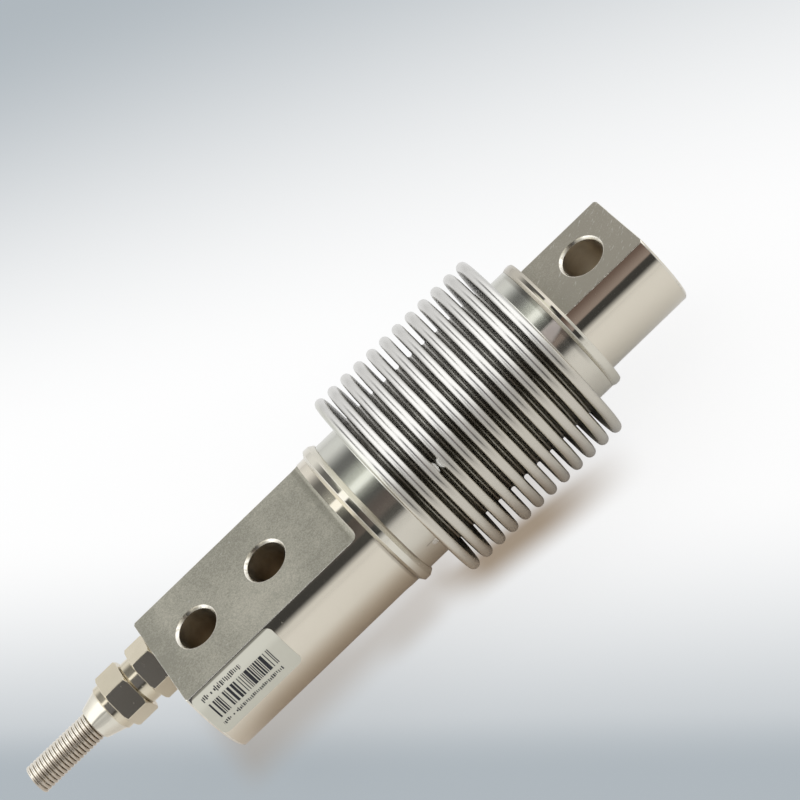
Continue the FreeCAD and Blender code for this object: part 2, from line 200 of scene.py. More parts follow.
class Rule(Tree):  # a geometry node tree with named sizes
    def __init__(self, name):
        super().__init__(bpy.data.node_groups.new(name, "GeometryNodeTree"))
        self.entry = self.node("NodeGroupInput")
        self.sizes = {}
        self.nodeTree.interface.new_socket("Mesh", in_out="OUTPUT", socket_type="NodeSocketGeometry")

    def size(self, name, value):
        kind = "NodeSocketInt" if isinstance(value, int) else "NodeSocketFloat"
        made = self.nodeTree.interface.new_socket(name, in_out="INPUT", socket_type=kind)
        self.sizes[made.identifier] = value
        return Val(self, self.entry.outputs[name])

    # a section turned about the beam's axis
    def turnedLine(self, count, along, away, rounds, roundSteps, turnSteps, closed):
        spin = 10 * mm
        corners = self.node("GeometryNodeMeshLine", {}, {"Count": count})
        corners = self.node("GeometryNodeSetPosition", {}, {"Geometry": self.out(corners),
                                                           "Position": self.vector(away - spin, -along, 0.0)})
        line = self.node("GeometryNodeMeshToCurve", {}, {"Mesh": self.out(corners)})
        line = self.node("GeometryNodeSetSplineCyclic", {}, {"Geometry": self.out(line), "Cyclic": closed})
        line = self.node("GeometryNodeFilletCurve", {"mode": "POLY"}, {
            "Curve": self.out(line), "Count": roundSteps, "Radius": rounds, "Limit Radius": True})
        path = self.node("GeometryNodeCurvePrimitiveCircle", {}, {"Resolution": turnSteps, "Radius": spin})
        path = self.node("GeometryNodeSetCurveNormal", {"mode": "Z_UP"}, {"Curve": self.out(path)})
        turned = self.node("GeometryNodeCurveToMesh", {}, {"Curve": self.out(path),
                                                           "Profile Curve": self.out(line)})
        return self.out(self.node("GeometryNodeTransform", {}, {
            "Geometry": self.out(turned), "Rotation": (0, math.pi / 2, 0), "Translation": (0, 0, axisZ)}))

    def grow(self, name, geometry, material):
        real = self.node("GeometryNodeRealizeInstances", {}, {"Geometry": geometry})
        dressed = self.node("GeometryNodeSetMaterial", {}, {"Geometry": self.out(real), "Material": material})
        self.node("NodeGroupOutput", {}, {"Mesh": self.out(dressed)})
        piece = newPiece(name, bpy.data.meshes.new(name + "Seed"))
        modifier = piece.modifiers.new("rule", "NODES")
        modifier.node_group = self.nodeTree
        for identifier, value in self.sizes.items():
            modifier[identifier] = value
        bakeModifiers(piece)
        return piece


joinDistance = 0.002 * mm
sharpAngle = math.radians(24)  # edges sharper than this are rounded
creaseAngle = math.radians(40)  # shading breaks at this angle


def newPiece(name, data):
    piece = bpy.data.objects.new(name, data)
    scene.collection.objects.link(piece)
    return piece


def bakeModifiers(piece):  # modifiers become plain mesh
    bpy.context.view_layer.update()
    graph = bpy.context.evaluated_depsgraph_get()
    mesh = bpy.data.meshes.new_from_object(piece.evaluated_get(graph), preserve_all_data_layers=True,
                                           depsgraph=graph)
    piece.modifiers.clear()
    piece.data = mesh
    mesh.name = piece.name


def standFor(piece, node):
    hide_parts(node)
    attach(piece, "root")
    print(piece.name + ":", len(piece.data.polygons), "faces")


def mergedCopy(node, name, materials):  # the solid's own triangles, joined and with flat faces made whole
    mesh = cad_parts[node].data.copy()
    if "custom_normal" in mesh.attributes:
        mesh.attributes.remove(mesh.attributes["custom_normal"])
    mesh.materials.clear()
    for material in materials:
        mesh.materials.append(material)
    work = bmesh.new()
    work.from_mesh(mesh)
    bmesh.ops.remove_doubles(work, verts=work.verts, dist=joinDistance)
    bmesh.ops.dissolve_limit(work, angle_limit=math.radians(0.3), verts=work.verts, edges=work.edges)
    for face in work.faces:
        face.smooth = True
        face.material_index = 0
    for edge in work.edges:
        edge.smooth = True
    work.to_mesh(mesh)
    work.free()
    return newPiece(name, mesh)


def evenNormals(piece):  # flat faces keep their own direction, rounded edges take the turn
    weighted = piece.modifiers.new("normals", "WEIGHTED_NORMAL")
    weighted.weight = 60
    weighted.keep_sharp = True
    bakeModifiers(piece)


def roundEdges(piece, width):
    bevel = piece.modifiers.new("edges", "BEVEL")
    bevel.width = width
    bevel.segments = 2
    bevel.limit_method = "ANGLE"
    bevel.angle_limit = sharpAngle
    bevel.use_clamp_overlap = False
    evenNormals(piece)


def facesOutward(mesh):
    work = bmesh.new()
    work.from_mesh(mesh)
    bmesh.ops.remove_doubles(work, verts=work.verts, dist=joinDistance)
    bmesh.ops.recalc_face_normals(work, faces=work.faces)
    for face in work.faces:
        face.smooth = True
    work.to_mesh(mesh)
    work.free()
    mesh.set_sharp_from_angle(angle=creaseAngle)


def rgb(r, g, b):
    return (r, g, b, 1.0)


def fromSpot(x, turn, middle, reach):  # grows from 0 at the middle to 1 at the reach
    run, rise = (x - middle[0]) / reach[0], (turn - middle[1]) / reach[1]
    return run * run + rise * rise


# Finishes; places along the beam are in metres, turns in degrees down from the top towards the label
# ring marks: a nick, and the places and colour of painted shade beside the fixed ring and on the load ring's
# top
ringMarks = {"nick": (27.0 * mm, 82), "nickReach": (0.35 * mm, 1.6), "ringShade": (0.25, 0.21, 0.165),
             "before": (fixedRingStart - 0.4 * mm, fixedRingStart + 0.3 * mm),
             "behind": (fixedRingEnd - 0.32 * mm, fixedRingEnd + 0.2 * mm),
             "loadRing": (loadRingStart - 0.2 * mm, loadRingEnd)}


def nickelPlate(name, tint, deep, gloss, crown=0.0):  # polished over turned steel, duller below the crown
    f = Finish(name)
    m = ringMarks
    x, turn, away = f.turned()
    cloud = f.noise(170, 3)
    turning = f.streaks(x * 5200, turn * 0.05, away * 300)
    swell = f.noise(240, 2, 0.4)
    speck = f.smooth(f.noise(1500, 2), 0.70, 0.78)
    nick = 1 - f.smooth(fromSpot(x, turn, m["nick"], m["nickReach"]), 0.4, 1.2)
    # dark lines in the joints on both sides of the fixed ring, kept to the lower front as painted shade, and
    # painted shade on the load ring's top
    ringShade = f.within(x, *m["before"], 0.25 * mm) * f.smooth(turn, 48, 78) * 0.6
    ringShade = ringShade + f.within(x, *m["behind"], 0.1 * mm) * f.within(turn, 52, 98, 8) * 0.6
    ringShade = ringShade + f.within(x, *m["loadRing"], 0.05 * mm) * (1 - f.smooth(turn, 36, 52)) * 0.42
    colour = f.blend(cloud * 0.5 + speck * 0.35 + nick * 2, rgb(*tint), rgb(*deep))
    colour = f.blend(ringShade, colour, rgb(*m["ringShade"]))
    sloped = 1 - f.smooth(away, crown - 0.1 * mm, crown - 0.03 * mm)
    rough = gloss + cloud * 0.05 + speck * 0.2 + turning * 0.02 + sloped * 0.2
    normal = f.bump(swell, 0.25, 0.03 * mm, f.bump(turning + speck, 0.10, 0.004 * mm))
    return f.metal(colour, rough, normal)


# flat marks: the load side's tone and scoring, and the places and colours of painted shade and a painted
# highlight at the fixed flat's rounded end
flatMarks = {"loadSide": (60 * mm, 95 * mm), "loadTint": (0.37, 0.325, 0.27), "scored": (0.80, 0.79, 0.74),
             "lip": (flatEnd - 0.4 * mm, flatEnd + 1 * mm), "paleTone": (0.90, 0.88, 0.81),
             "shadedBand": (flatEnd - 2.2 * mm, flatEnd - 0.7 * mm), "endShadeTone": (0.28, 0.27, 0.22)}


def groundFlat(name, tint, deep):  # fine-ground face with pits, hairlines and cloudy plating
    f = Finish(name)
    m = flatMarks
    x, y, z = f.axes(f.place)
    cloud = f.smooth(f.noise(110, 4), 0.3, 0.7)
    mottle = f.noise(700, 3, 0.6)
    grain = f.noise(3600, 3, 0.7)
    hair = f.streaks(x * 300 + y * 120, y * 4200 - x * 1500, z * 200)
    pit = f.smooth(f.noise(900, 2), 0.70, 0.76)
    loadSide = f.smooth(x, *m["loadSide"])
    # painted shade and light: lighter by the label, darker at the far side, at the end face, along the near
    # edge and further along; the load flat darker, with painted shade towards its near side
    slope = (f.smooth(y, -8 * mm, 9 * mm) * 0.6 - 0.29) * f.within(x, -3 * mm, 12 * mm, 5 * mm)
    slope = slope + (1 - f.smooth(x, -9 * mm, 1 * mm)) * (1 - f.smooth(y, -8 * mm, 2 * mm)) * 0.15
    slope = slope + (1 - f.smooth(x, -16.5 * mm, -12 * mm)) * (0.12 + f.smooth(y, -6 * mm, -1 * mm) * 0.33)
    slope = slope + (1 - f.smooth(y, -8.8 * mm, -6.5 * mm)) * f.within(x, 0.0, 30 * mm, 4 * mm) * 0.14
    tone = cloud * 0.28 + f.smooth(mottle, 0.3, 0.7) * 0.2 + f.smooth(grain, 0.3, 0.7) * 0.8 - 0.16
    tone = tone + slope + f.smooth(x, 6 * mm, 21 * mm) * 0.18
    tone = tone + loadSide * (0.36 + (1 - f.smooth(y, -7 * mm, 0.0)) * 0.3)
    colour = f.blend(tone, rgb(*tint), rgb(*deep))
    colour = f.blend(loadSide * 0.4, colour, rgb(*m["loadTint"]))
    score = f.streaks(x * 420 + y * 260, y * 2400 - x * 1500, 0.0)
    score = f.smooth(score + loadSide * 0.06, 0.69, 0.76) * (0.12 + loadSide * 0.34)
    colour = f.blend(pit * 0.35 + score, colour, rgb(*m["scored"]))
    # the fixed flat's rounded end, with painted shade at the far side and on the strip before it, and a
    # painted highlight at the near side
    lip = f.within(x, *m["lip"], 0.2 * mm)
    shadedBand = f.within(x, *m["shadedBand"], 0.5 * mm)
    stain = (lip + shadedBand) * f.smooth(y, -3 * mm, 4 * mm) * 0.35 + shadedBand * 0.15
    colour = f.blend(stain, colour, rgb(*m["endShadeTone"]))
    colour = f.blend(lip * (1 - f.smooth(y, -7 * mm, 1 * mm)) * 0.8, colour, rgb(*m["paleTone"]))
    rough = 0.36 + grain * 0.12 + mottle * 0.06 - pit * 0.15
    return f.metal(colour, rough, f.bump(grain * 0.8 + hair * 0.6 + mottle * 0.5 - pit, 0.4, 0.014 * mm))


# edge marks: where painted shade darkens the far side and the load flat's near edge, and its colours
edgeMarks = {"farSide": (3.9 * mm, 4.7 * mm), "farShade": (0.37, 0.34, 0.265),
             "loadFlat": (80 * mm, 100.8 * mm), "nearSide": (-8.2 * mm, -7.2 * mm),
             "nearShade": (0.33, 0.29, 0.245)}


# rubbed bright and nicked, with painted shade at the far side and along the load flat's near edge; stain sets
# its strength
def wornEdge(name, tint, deep, rough, stain):
    f = Finish(name)
    m = edgeMarks
    x, y = f.axes(f.place)[:2]
    nick = f.smooth(f.noise(1100, 3), 0.54, 0.64)
    colour = f.blend(nick, rgb(*tint), rgb(*deep))
    farSide = f.smooth(y + f.noise(600) * mm, *m["farSide"])
    colour = f.blend(farSide * stain, colour, rgb(*m["farShade"]))
    nearSide = f.within(x, *m["loadFlat"], 0.2 * mm) * (1 - f.smooth(y, *m["nearSide"]))
    colour = f.blend(nearSide * (1 - nick * 0.7) * stain * 1.25, colour, rgb(*m["nearShade"]))
    return f.metal(colour, rough + nick * 0.2, f.bump(f.noise(1700, 2), 0.5, 0.02 * mm))


# hole marks: the load side's lighter tint, and the depth and colour of stain with painted shade down in the
# hole
holeMarks = {"loadSide": (40 * mm, 60 * mm), "loadTint": (0.72, 0.63, 0.52), "depth": (2.5 * mm, 9 * mm),
             "stainAndShade": (0.28, 0.225, 0.16)}


def boredHole(name, tint, deep):  # brown stain, with painted shade down in the hole, less so at the load end
    f = Finish(name)
    m = holeMarks
    x, y, z = f.axes(f.place)
    ring = f.streaks(x * 80, y * 80, z * 6500)
    stain = f.smooth(f.noise(420, 4), 0.3, 0.7)
    loadSide = f.smooth(x, *m["loadSide"])
    # stain with painted shade, darker down in the hole
    inside = (1 - f.smooth(abs(z - axisZ), *m["depth"])) * (0.85 - loadSide * 0.5)
    colour = f.blend(loadSide * 0.5, f.blend(stain, rgb(*tint), rgb(*deep)), rgb(*m["loadTint"]))
    colour = f.blend(inside, colour, rgb(*m["stainAndShade"]))
    return f.metal(colour, 0.34 + ring * 0.12, f.bump(ring, 0.3, 0.01 * mm))


def turnedFace(name, tint, deep):  # end faces, with the lathe's rings about the beam's axis
    f = Finish(name)
    away = f.turned()[2]
    ring = f.streaks(away * 5200, 0.0, 0.0)
    return f.metal(f.blend(f.noise(120, 3), rgb(*tint), rgb(*deep)), 0.22 + ring * 0.1,
                   f.bump(ring, 0.25, 0.008 * mm))


# sheet marks: the grooves, colours of painted shade and painted reflection, the seam's painted shade, a burr,
# a scuff, a scratch and a painted reflection band
sheetMarks = {"middle": (36.5 * mm, 75.5 * mm), "grooves": (20.4 * mm, 21.95 * mm),
              "lowerShade": (0.575, 0.54, 0.467), "cuffTop": (0.63, 0.64, 0.59), "cuffLow": (0.67, 0.635, 0.555),
              "cuffDeep": (0.54, 0.51, 0.44), "seam": (sheetHigh.x - 1.1 * mm, sheetHigh.x - 0.5 * mm),
              "seamShade": (0.26, 0.245, 0.21), "burr": (44.6 * mm, 46.3 * mm), "burrTurn": (50.2, 55.8),
              "burrAway": (16.6 * mm, 21.7 * mm), "scuff": (34.9 * mm, 99), "scuffReach": (0.9 * mm, 3.2),
              "paleTone": (0.80, 0.79, 0.755), "scratch": (33.0 * mm, 34.7 * mm), "scratchTurn": (95.6, 96.7),
              "scratched": (0.28, 0.26, 0.23), "reflectionBand": (75.8 * mm, 80.6 * mm),
              "reflectionTone": (0.66, 0.60, 0.565)}


def bellowsSheet(name, tint, deep, paintedShade):  # satin formed sheet, darker down in the grooves as painted shade
    f = Finish(name)
    m = sheetMarks
    x, turn, away = f.turned()
    drawn = f.streaks(x * 6000, turn * 0.03, away * 1500, 3, 0.6)
    streak = f.streaks(x * 900, turn * 0.05, away * 1300, 3, 0.6)
    cloud = f.noise(190, 4)
    middle = f.within(x, *m["middle"], 0.5 * mm)
    groove = middle * (1 - f.smooth(away + (streak - 0.5) * 0.9 * mm, *m["grooves"]))
    # painted shade in the grooves: deeper lower down, less on the load end's top and lighter at the bottom
    grooveShade = groove * (0.98 - f.smooth(streak, 0.45, 0.75) * 0.25) * (0.13 + f.smooth(turn, 20, 54) * 0.64)
    grooveShade = grooveShade * (1 - f.smooth(x, 50 * mm, 68 * mm) * (1 - f.smooth(turn, 38, 60)) * 0.55)
    grooveShade = grooveShade * (1 - f.smooth(turn, 84, 102) * f.smooth(away, 18.5 * mm, 20.5 * mm) * 0.85)
    colour = f.blend(cloud * 0.7 + drawn * 0.3, rgb(*tint), rgb(*deep))
    # painted shade: darker and warmer on the lower side; the cuffs cooler on top and warmer below as a
    # painted reflection
    colour = f.blend(f.smooth(turn, 34, 66) * 0.9, colour, rgb(*m["lowerShade"]))
    cuff = f.blend(f.smooth(turn, 30, 52), rgb(*m["cuffTop"]), rgb(*m["cuffLow"]))
    colour = f.blend(1 - middle, colour, f.blend(cloud * 0.5, cuff, rgb(*m["cuffDeep"])))
    colour = f.blend(grooveShade, colour, rgb(*paintedShade))
    # painted shade at the load cuff's end beside the ring, on its upper and front side
    seam = f.smooth(x, *m["seam"]) * f.within(turn, -20, 75, 12)
    colour = f.blend(seam * 0.6, colour, rgb(*m["seamShade"]))
    # a burr in the third groove, its bright spot partly a painted highlight, a scuff and a scratch low on the
    # fixed cuff, and a painted reflection band on the load cuff
    burr = f.within(x, *m["burr"], 0.1 * mm) * f.within(turn, *m["burrTurn"], 0.5)
    burr = burr * f.within(away, *m["burrAway"], 0.3 * mm)
    scuff = fromSpot(x, turn, m["scuff"], m["scuffReach"])
    scuff = 1 - f.smooth(scuff + f.noise(1400) - 0.5, 0.3, 1.1)
    scratch = f.within(x, *m["scratch"], 0.2 * mm) * f.within(turn, *m["scratchTurn"], 0.4)
    reflectionBand = f.within(x, *m["reflectionBand"], 0.4 * mm) * f.smooth(turn, 37, 41)
    reflectionBand = reflectionBand * (1 - f.smooth(turn + (x - 78 * mm) / mm * 0.9, 46, 50))  # its lower edge runs aslant
    colour = f.blend(burr + scuff * 0.7, colour, rgb(*m["paleTone"]))
    colour = f.blend(scratch * 0.6, colour, rgb(*m["scratched"]))
    colour = f.blend(reflectionBand, colour, rgb(*m["reflectionTone"]))
    rough = 0.13 + middle * 0.05 + cloud * 0.04 + drawn * 0.05 + groove * 0.1 + scuff * 0.3 + reflectionBand * 0.35
    return f.close(f.shader(Base_Color=colour, Metallic=1 - burr * 0.8, Roughness=rough,
                            Normal=f.bump(drawn + scuff * f.noise(2600) * 3, 0.3, 0.008 * mm)))


noseMarks = {"end": (noseEnd - 0.05 * mm, noseEnd + 0.05 * mm), "tint": (0.77, 0.74, 0.65),
             "deep": (0.70, 0.67, 0.58)}


def brightPlate(name, tint, deep):  # plated brass of the gland, the nut's nose rubbed paler
    f = Finish(name)
    m = noseMarks
    x = f.axes(f.place)[0]
    cloud = f.noise(260, 3)
    speck = f.smooth(f.noise(1600, 2), 0.68, 0.76)
    nose = 1 - f.smooth(x, *m["end"])
    paler = f.blend(cloud, rgb(*m["tint"]), rgb(*m["deep"]))
    colour = f.blend(nose, f.blend(cloud, rgb(*tint), rgb(*deep)), paler)
    return f.metal(colour, 0.11 + cloud * 0.08 + speck * 0.15, f.bump(cloud * 2 + speck, 0.15, 0.012 * mm))


# wire marks: the turns where painted shade darkens the coil, and its colour
wireMarks = {"low": (32, 135), "paintedShade": (0.47, 0.41, 0.335)}


def drawnWire(name, tint, deep, paintedShade=0.0):  # the coil is darker from its front line down, painted shade
    f = Finish(name)
    m = wireMarks
    y, z = f.axes(f.place)[1:]
    turn = f.math("ARCTAN2", glandY - y, z - axisZ) * (180 / math.pi)
    fine = f.noise(5200, 2)
    colour = f.blend(f.noise(700, 3), rgb(*tint), rgb(*deep))
    colour = f.blend(f.within(turn, *m["low"], 10) * paintedShade, colour, rgb(*m["paintedShade"]))
    return f.metal(colour, 0.18 + fine * 0.12, f.bump(fine, 0.15, 0.006 * mm))


def plainStuff(name, tint, deep, rough):  # plastics, resin, rubber
    f = Finish(name)
    cloud = f.noise(900, 4)
    return f.close(f.shader(Base_Color=f.blend(cloud, rgb(*tint), rgb(*deep)), Metallic=0.0,
                            Roughness=rough + cloud * 0.12,
                            Normal=f.bump(f.noise(3600, 2), 0.2, 0.02 * mm)))


steelPolished = nickelPlate("steelPolished", (0.725, 0.675, 0.575), (0.66, 0.61, 0.515), 0.05)
fixedRingPlate = nickelPlate("fixedRingPlate", (0.72, 0.69, 0.605), (0.655, 0.625, 0.545), 0.015, 16.95 * mm)
loadRingPlate = nickelPlate("loadRingPlate", (0.70, 0.67, 0.585), (0.635, 0.605, 0.525), 0.015, 15.3 * mm)
steelGround = groundFlat("steelGround", (0.57, 0.55, 0.465), (0.34, 0.33, 0.275))
steelEdge = wornEdge("steelEdge", (0.80, 0.78, 0.71), (0.50, 0.48, 0.42), 0.20, 0.7)
steelChamfer = wornEdge("steelChamfer", (0.80, 0.77, 0.69), (0.66, 0.63, 0.55), 0.24, 0.85)
steelBored = boredHole("steelBored", (0.69, 0.64, 0.52), (0.46, 0.41, 0.315))
steelTurned = turnedFace("steelTurned", (0.68, 0.65, 0.58), (0.56, 0.54, 0.48))
sheetSatin = bellowsSheet("sheetSatin", (0.68, 0.672, 0.65), (0.60, 0.592, 0.57), (0.36, 0.345, 0.29))
brassPlated = brightPlate("brassPlated", (0.715, 0.655, 0.525), (0.635, 0.575, 0.445))
wireBright = drawnWire("wireBright", (0.80, 0.76, 0.68), (0.70, 0.66, 0.58), 0.9)
nylonNatural = plainStuff("nylonNatural", (0.80, 0.78, 0.70), (0.72, 0.69, 0.60), 0.4)
rubberBlack = plainStuff("rubberBlack", (0.035, 0.035, 0.035), (0.02, 0.02, 0.02), 0.6)
filmAmber = plainStuff("filmAmber", (0.62, 0.37, 0.10), (0.52, 0.29, 0.07), 0.25)
laminateGreen = plainStuff("laminateGreen", (0.21, 0.36, 0.16), (0.14, 0.27, 0.11), 0.35)
ceramicWhite = plainStuff("ceramicWhite", (0.82, 0.81, 0.77), (0.74, 0.73, 0.68), 0.3)
wireCopper = drawnWire("wireCopper", (0.66, 0.30, 0.13), (0.54, 0.22, 0.09))
resinBlack = plainStuff("resinBlack", (0.055, 0.053, 0.05), (0.035, 0.033, 0.03), 0.3)
print("finishes made")


# Beam: the solid's own form with rubbed, nicked edges and a finish for each worked face
beam = {"edge": 0.11 * mm, "rim": 0.06 * mm, "edgeStep": 0.7 * mm, "wander": 0.02 * mm, "wanderScale": 900,
        "nick": 0.18 * mm, "nickScale": 420, "nickShift": Vector((3, 1, 7)), "nickFloor": 0.30,
        "holes": (endX + 9.7 * mm, endX + 27.7 * mm, endX + 110.3 * mm), "holeRadius": 4.2 * mm,
        "rimReach": 0.7 * mm, "levels": (9.65 * mm, 9.5 * mm), "flatEnd": flatEnd, "flatRound": 1.3 * mm,
        "hiddenTo": endX + 99 * mm, "innerRadius": 9 * mm, "ends": (endX, endX + 120 * mm)}
beamFinishes = {"polished": steelPolished, "ground": steelGround, "bored": steelBored, "edge": steelEdge,
                "turned": steelTurned, "chamfer": steelChamfer}
finishAt = {name: index for index, name in enumerate(beamFinishes)}
springElement = mergedCopy("spring_element", "springElement", beamFinishes.values())


def holeDistance(point):
    return min(math.hypot(point.x - x, point.y) for x in beam["holes"]) - beam["holeRadius"]


def sharpEdges(work):
    return [(edge, (edge.verts[0].co + edge.verts[1].co) / 2) for edge in work.edges
            if edge.calc_face_angle(0) > sharpAngle]


def outerEdges(work):  # on the outside, away from the hole rims and the flat's rounded end
    found = []
    for edge, middle in sharpEdges(work):
        height = abs(middle.z - axisZ)
        roundedEnd = -beam["flatRound"] - 0.3 * mm < middle.x - beam["flatEnd"] < 0.2 * mm
        hidden = beam["flatEnd"] + 0.4 * mm < middle.x < beam["hiddenTo"]
        inside = math.hypot(middle.y, height) < beam["innerRadius"]
        if holeDistance(middle) > beam["rimReach"] + 0.1 * mm and not (roundedEnd or hidden or inside):
            found.append(edge)
    return found


def rimEdges(work):
    return [edge for edge, middle in sharpEdges(work) if abs(holeDistance(middle)) < beam["rimReach"]
            and abs(edge.verts[0].co.z - edge.verts[1].co.z) < 0.1 * mm and abs(middle.z - axisZ) > 8 * mm]


work = bmesh.new()
work.from_mesh(springElement.data)
rounded = set(outerEdges(work) + rimEdges(work))
for edge, middle in sharpEdges(work):
    edge.smooth = edge in rounded
for edge in outerEdges(work):
    if edge.calc_length() > 2 * beam["edgeStep"]:
        bmesh.ops.subdivide_edges(work, edges=[edge], cuts=int(edge.calc_length() / beam["edgeStep"]))
bmesh.ops.bevel(work, geom=outerEdges(work), offset=beam["edge"], segments=2, profile=0.5, affect="EDGES",
                clamp_overlap=False, material=finishAt["edge"])
bmesh.ops.bevel(work, geom=rimEdges(work), offset=beam["rim"], segments=2, profile=0.5, affect="EDGES",
                clamp_overlap=False, material=finishAt["chamfer"])
# the rim's bevel lists its faces in a changing order, so their corners put them in a fixed one
work.verts.index_update()
inOrder = sorted(work.faces, key=lambda face: sorted(corner.index for corner in face.verts))
for index, face in enumerate(inOrder):
    face.index = index
work.faces.sort()
work.normal_update()
for corner in work.verts:
    if all(face.material_index == finishAt["edge"] for face in corner.link_faces):
        wave = noise.noise(corner.co * beam["wanderScale"])
        dent = max(0.0, noise.noise(corner.co * beam["nickScale"] + beam["nickShift"]) - beam["nickFloor"])
        corner.co -= corner.normal * (wave * beam["wander"] + dent * beam["nick"])
for face in work.faces:
    if face.material_index == finishAt["edge"]:
        continue
    face.smooth = True
    centre = face.calc_center_median()
    height = abs(centre.z - axisZ)
    toHole = holeDistance(centre)
    if toHole < beam["rimReach"] and 0.3 < abs(face.normal.z) < 0.95:
        face.material_index = finishAt["chamfer"]
    elif toHole < 0.1 * mm and abs(face.normal.z) < 0.3:
        face.material_index = finishAt["bored"]
    elif abs(face.normal.z) > 0.999 and any(abs(height - level) < 0.02 * mm for level in beam["levels"]):
        face.material_index = finishAt["ground"]
    elif abs(face.normal.y) < 0.05 and 0 < beam["flatEnd"] + 0.05 * mm - centre.x < 1.6 * mm:
        face.material_index = finishAt["ground"]
    elif abs(face.normal.x) > 0.99 and min(abs(centre.x - x) for x in beam["ends"]) < 0.05 * mm:
        face.material_index = finishAt["turned"]
work.to_mesh(springElement.data)
work.free()
evenNormals(springElement)


# the round faces, and rounded edges beside them, take their normals from the beam's axis
def trueRound(mesh):
    roundFinishes = (finishAt["polished"], finishAt["edge"])
    normals = [corner.vector.copy() for corner in mesh.corner_normals]
    radial = {}
    for face in mesh.polygons:
        for vertex in face.vertices:
            point = mesh.vertices[vertex].co
            away = Vector((0, point.y, point.z - axisZ)).normalized()
            if face.material_index == finishAt["polished"] and away.dot(face.normal) > 0.99:
                radial[vertex] = away
    for face in mesh.polygons:
        for loop in face.loop_indices:
            vertex = mesh.loops[loop].vertex_index
            if face.material_index not in roundFinishes or vertex not in radial:
                continue
            if radial[vertex].dot(face.normal) > 0.8:
                normals[loop] = radial[vertex]
    mesh.normals_split_custom_set(normals)


trueRound(springElement.data)
standFor(springElement, "spring_element")


# Bellows: one rule for its line, turned about the beam's axis
bellowsSizes = {"convolutions": 12, "pitch": 3.4 * mm, "firstCrest": endX + 55.5 * mm, "crestWidth": 2.3 * mm,
                "crestRadius": 22.15 * mm, "rootRadius": 15.7 * mm, "crestRound": 1.1 * mm,
                "rootRound": 0.5 * mm, "start": sheetLow.x, "startRadius": 15.85 * mm,
                "end": sheetHigh.x, "endRadius": 15.05 * mm, "roundSteps": 4, "turnSteps": 160,
                "wave": 0.05 * mm, "waveScale": 170.0}
bellowsWall = 0.25 * mm
waveRun = (37.8 * mm, 74.8 * mm)  # the cuffs stay even
# place in millimetres, degrees and millimetres, then reach and push in millimetres
bruises = (((44.75, 53, 20.7), 1.6, 0.50), ((45.85, 53, 20.7), 1.6, -0.74),
           ((72.6, 20, 22.1), 1.3, -0.18), ((66.0, 63, 22.1), 1.2, 0.15))
rule = Rule("bellowsLine")
s = {name: rule.size(name, value) for name, value in bellowsSizes.items()}
index = rule.out(rule.node("GeometryNodeInputIndex"))
step = index - 1
turn = rule.math("FLOOR", step / 4)
corner = step - turn * 4
isCrest = abs(corner - 1.5) < 0.75
lastCorner = s["convolutions"] * 4
first, firstTwo = index < 0.5, index < 1.5
last, lastTwo = index > lastCorner + 0.5, index > lastCorner - 0.5
along = s["firstCrest"] + turn * s["pitch"] + ((corner > 1.5) - 0.5) * s["crestWidth"]
along = along * (1 - first - last) + first * s["start"] + last * s["end"]
away = s["rootRadius"] + isCrest * (s["crestRadius"] - s["rootRadius"])
away = away * (1 - firstTwo - lastTwo) + firstTwo * s["startRadius"] + lastTwo * s["endRadius"]
rounds = s["rootRound"] + isCrest * (s["crestRound"] - s["rootRound"])
laid = rule.turnedLine(lastCorner + 2, along, away, rounds, s["roundSteps"], s["turnSteps"], False)
place = rule.out(rule.node("GeometryNodeInputPosition"))
ripple = rule.node("ShaderNodeTexNoise", {}, {"Vector": place, "Scale": s["waveScale"], "Detail": 1.0})
sway = (rule.out(ripple) - 0.5) * s["wave"] * 2 * rule.within(rule.axes(place)[0], *waveRun, 1 * mm)
waved = rule.node("GeometryNodeSetPosition", {}, {"Geometry": laid, "Offset": rule.vector(sway, 0.0, 0.0)})
bellows = rule.grow("bellowsSheet", rule.out(waved), sheetSatin)
facesOutward(bellows.data)
for (run, lean, radius), reach, push in bruises:
    lean = math.radians(lean)
    spot = Vector((run * mm, -math.sin(lean) * radius * mm, axisZ + math.cos(lean) * radius * mm))
    for corner in bellows.data.vertices:
        near = 1 - (corner.co - spot).length / (reach * mm)
        ahead = (corner.co.x - spot.x) * push > 0.1 * mm * abs(push)  # the next wall stays
        if near > 0 and not ahead:
            corner.co.x += push * mm * near * near * (3 - 2 * near)
wall = bellows.modifiers.new("wall", "SOLIDIFY")
wall.thickness = bellowsWall
wall.offset = -1.0
wall.use_even_offset = True
bakeModifiers(bellows)
bellows.data.set_sharp_from_angle(angle=creaseAngle)
evenNormals(bellows)
standFor(bellows, "bellows")


# Strain relief spring: round wire along a helix, from the nut's pocket outwards
springLow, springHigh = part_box("strain_relief_spring")
coil = {"outerRadius": 3.15 * mm, "wireRadius": 0.41 * mm, "pitch": 0.865 * mm, "turnSteps": 36,
        "wireSteps": 12}
coil["length"] = springHigh.x - springLow.x - 2 * coil["wireRadius"]
rule = Rule("coilWire")
s = {name: rule.size(name, value) for name, value in coil.items()}
ring = s["outerRadius"] - s["wireRadius"]
helix = rule.node("GeometryNodeCurveSpiral", {}, {"Resolution": s["turnSteps"],
                                                  "Rotations": s["length"] / s["pitch"],
                                                  "Start Radius": ring, "End Radius": ring,
                                                  "Height": s["length"]})
wire = rule.node("GeometryNodeCurvePrimitiveCircle", {}, {"Resolution": s["wireSteps"],
                                                          "Radius": s["wireRadius"]})
wound = rule.node("GeometryNodeCurveToMesh", {}, {"Curve": rule.out(helix), "Profile Curve": rule.out(wire),
                                                  "Fill Caps": True})
laid = rule.node("GeometryNodeTransform", {}, {
    "Geometry": rule.out(wound), "Rotation": (0, -math.pi / 2, 0),
    "Translation": (springHigh.x - coil["wireRadius"], glandY, axisZ)})
reliefSpring = rule.grow("reliefSpring", rule.out(laid), wireBright)
facesOutward(reliefSpring.data)
standFor(reliefSpring, "strain_relief_spring")


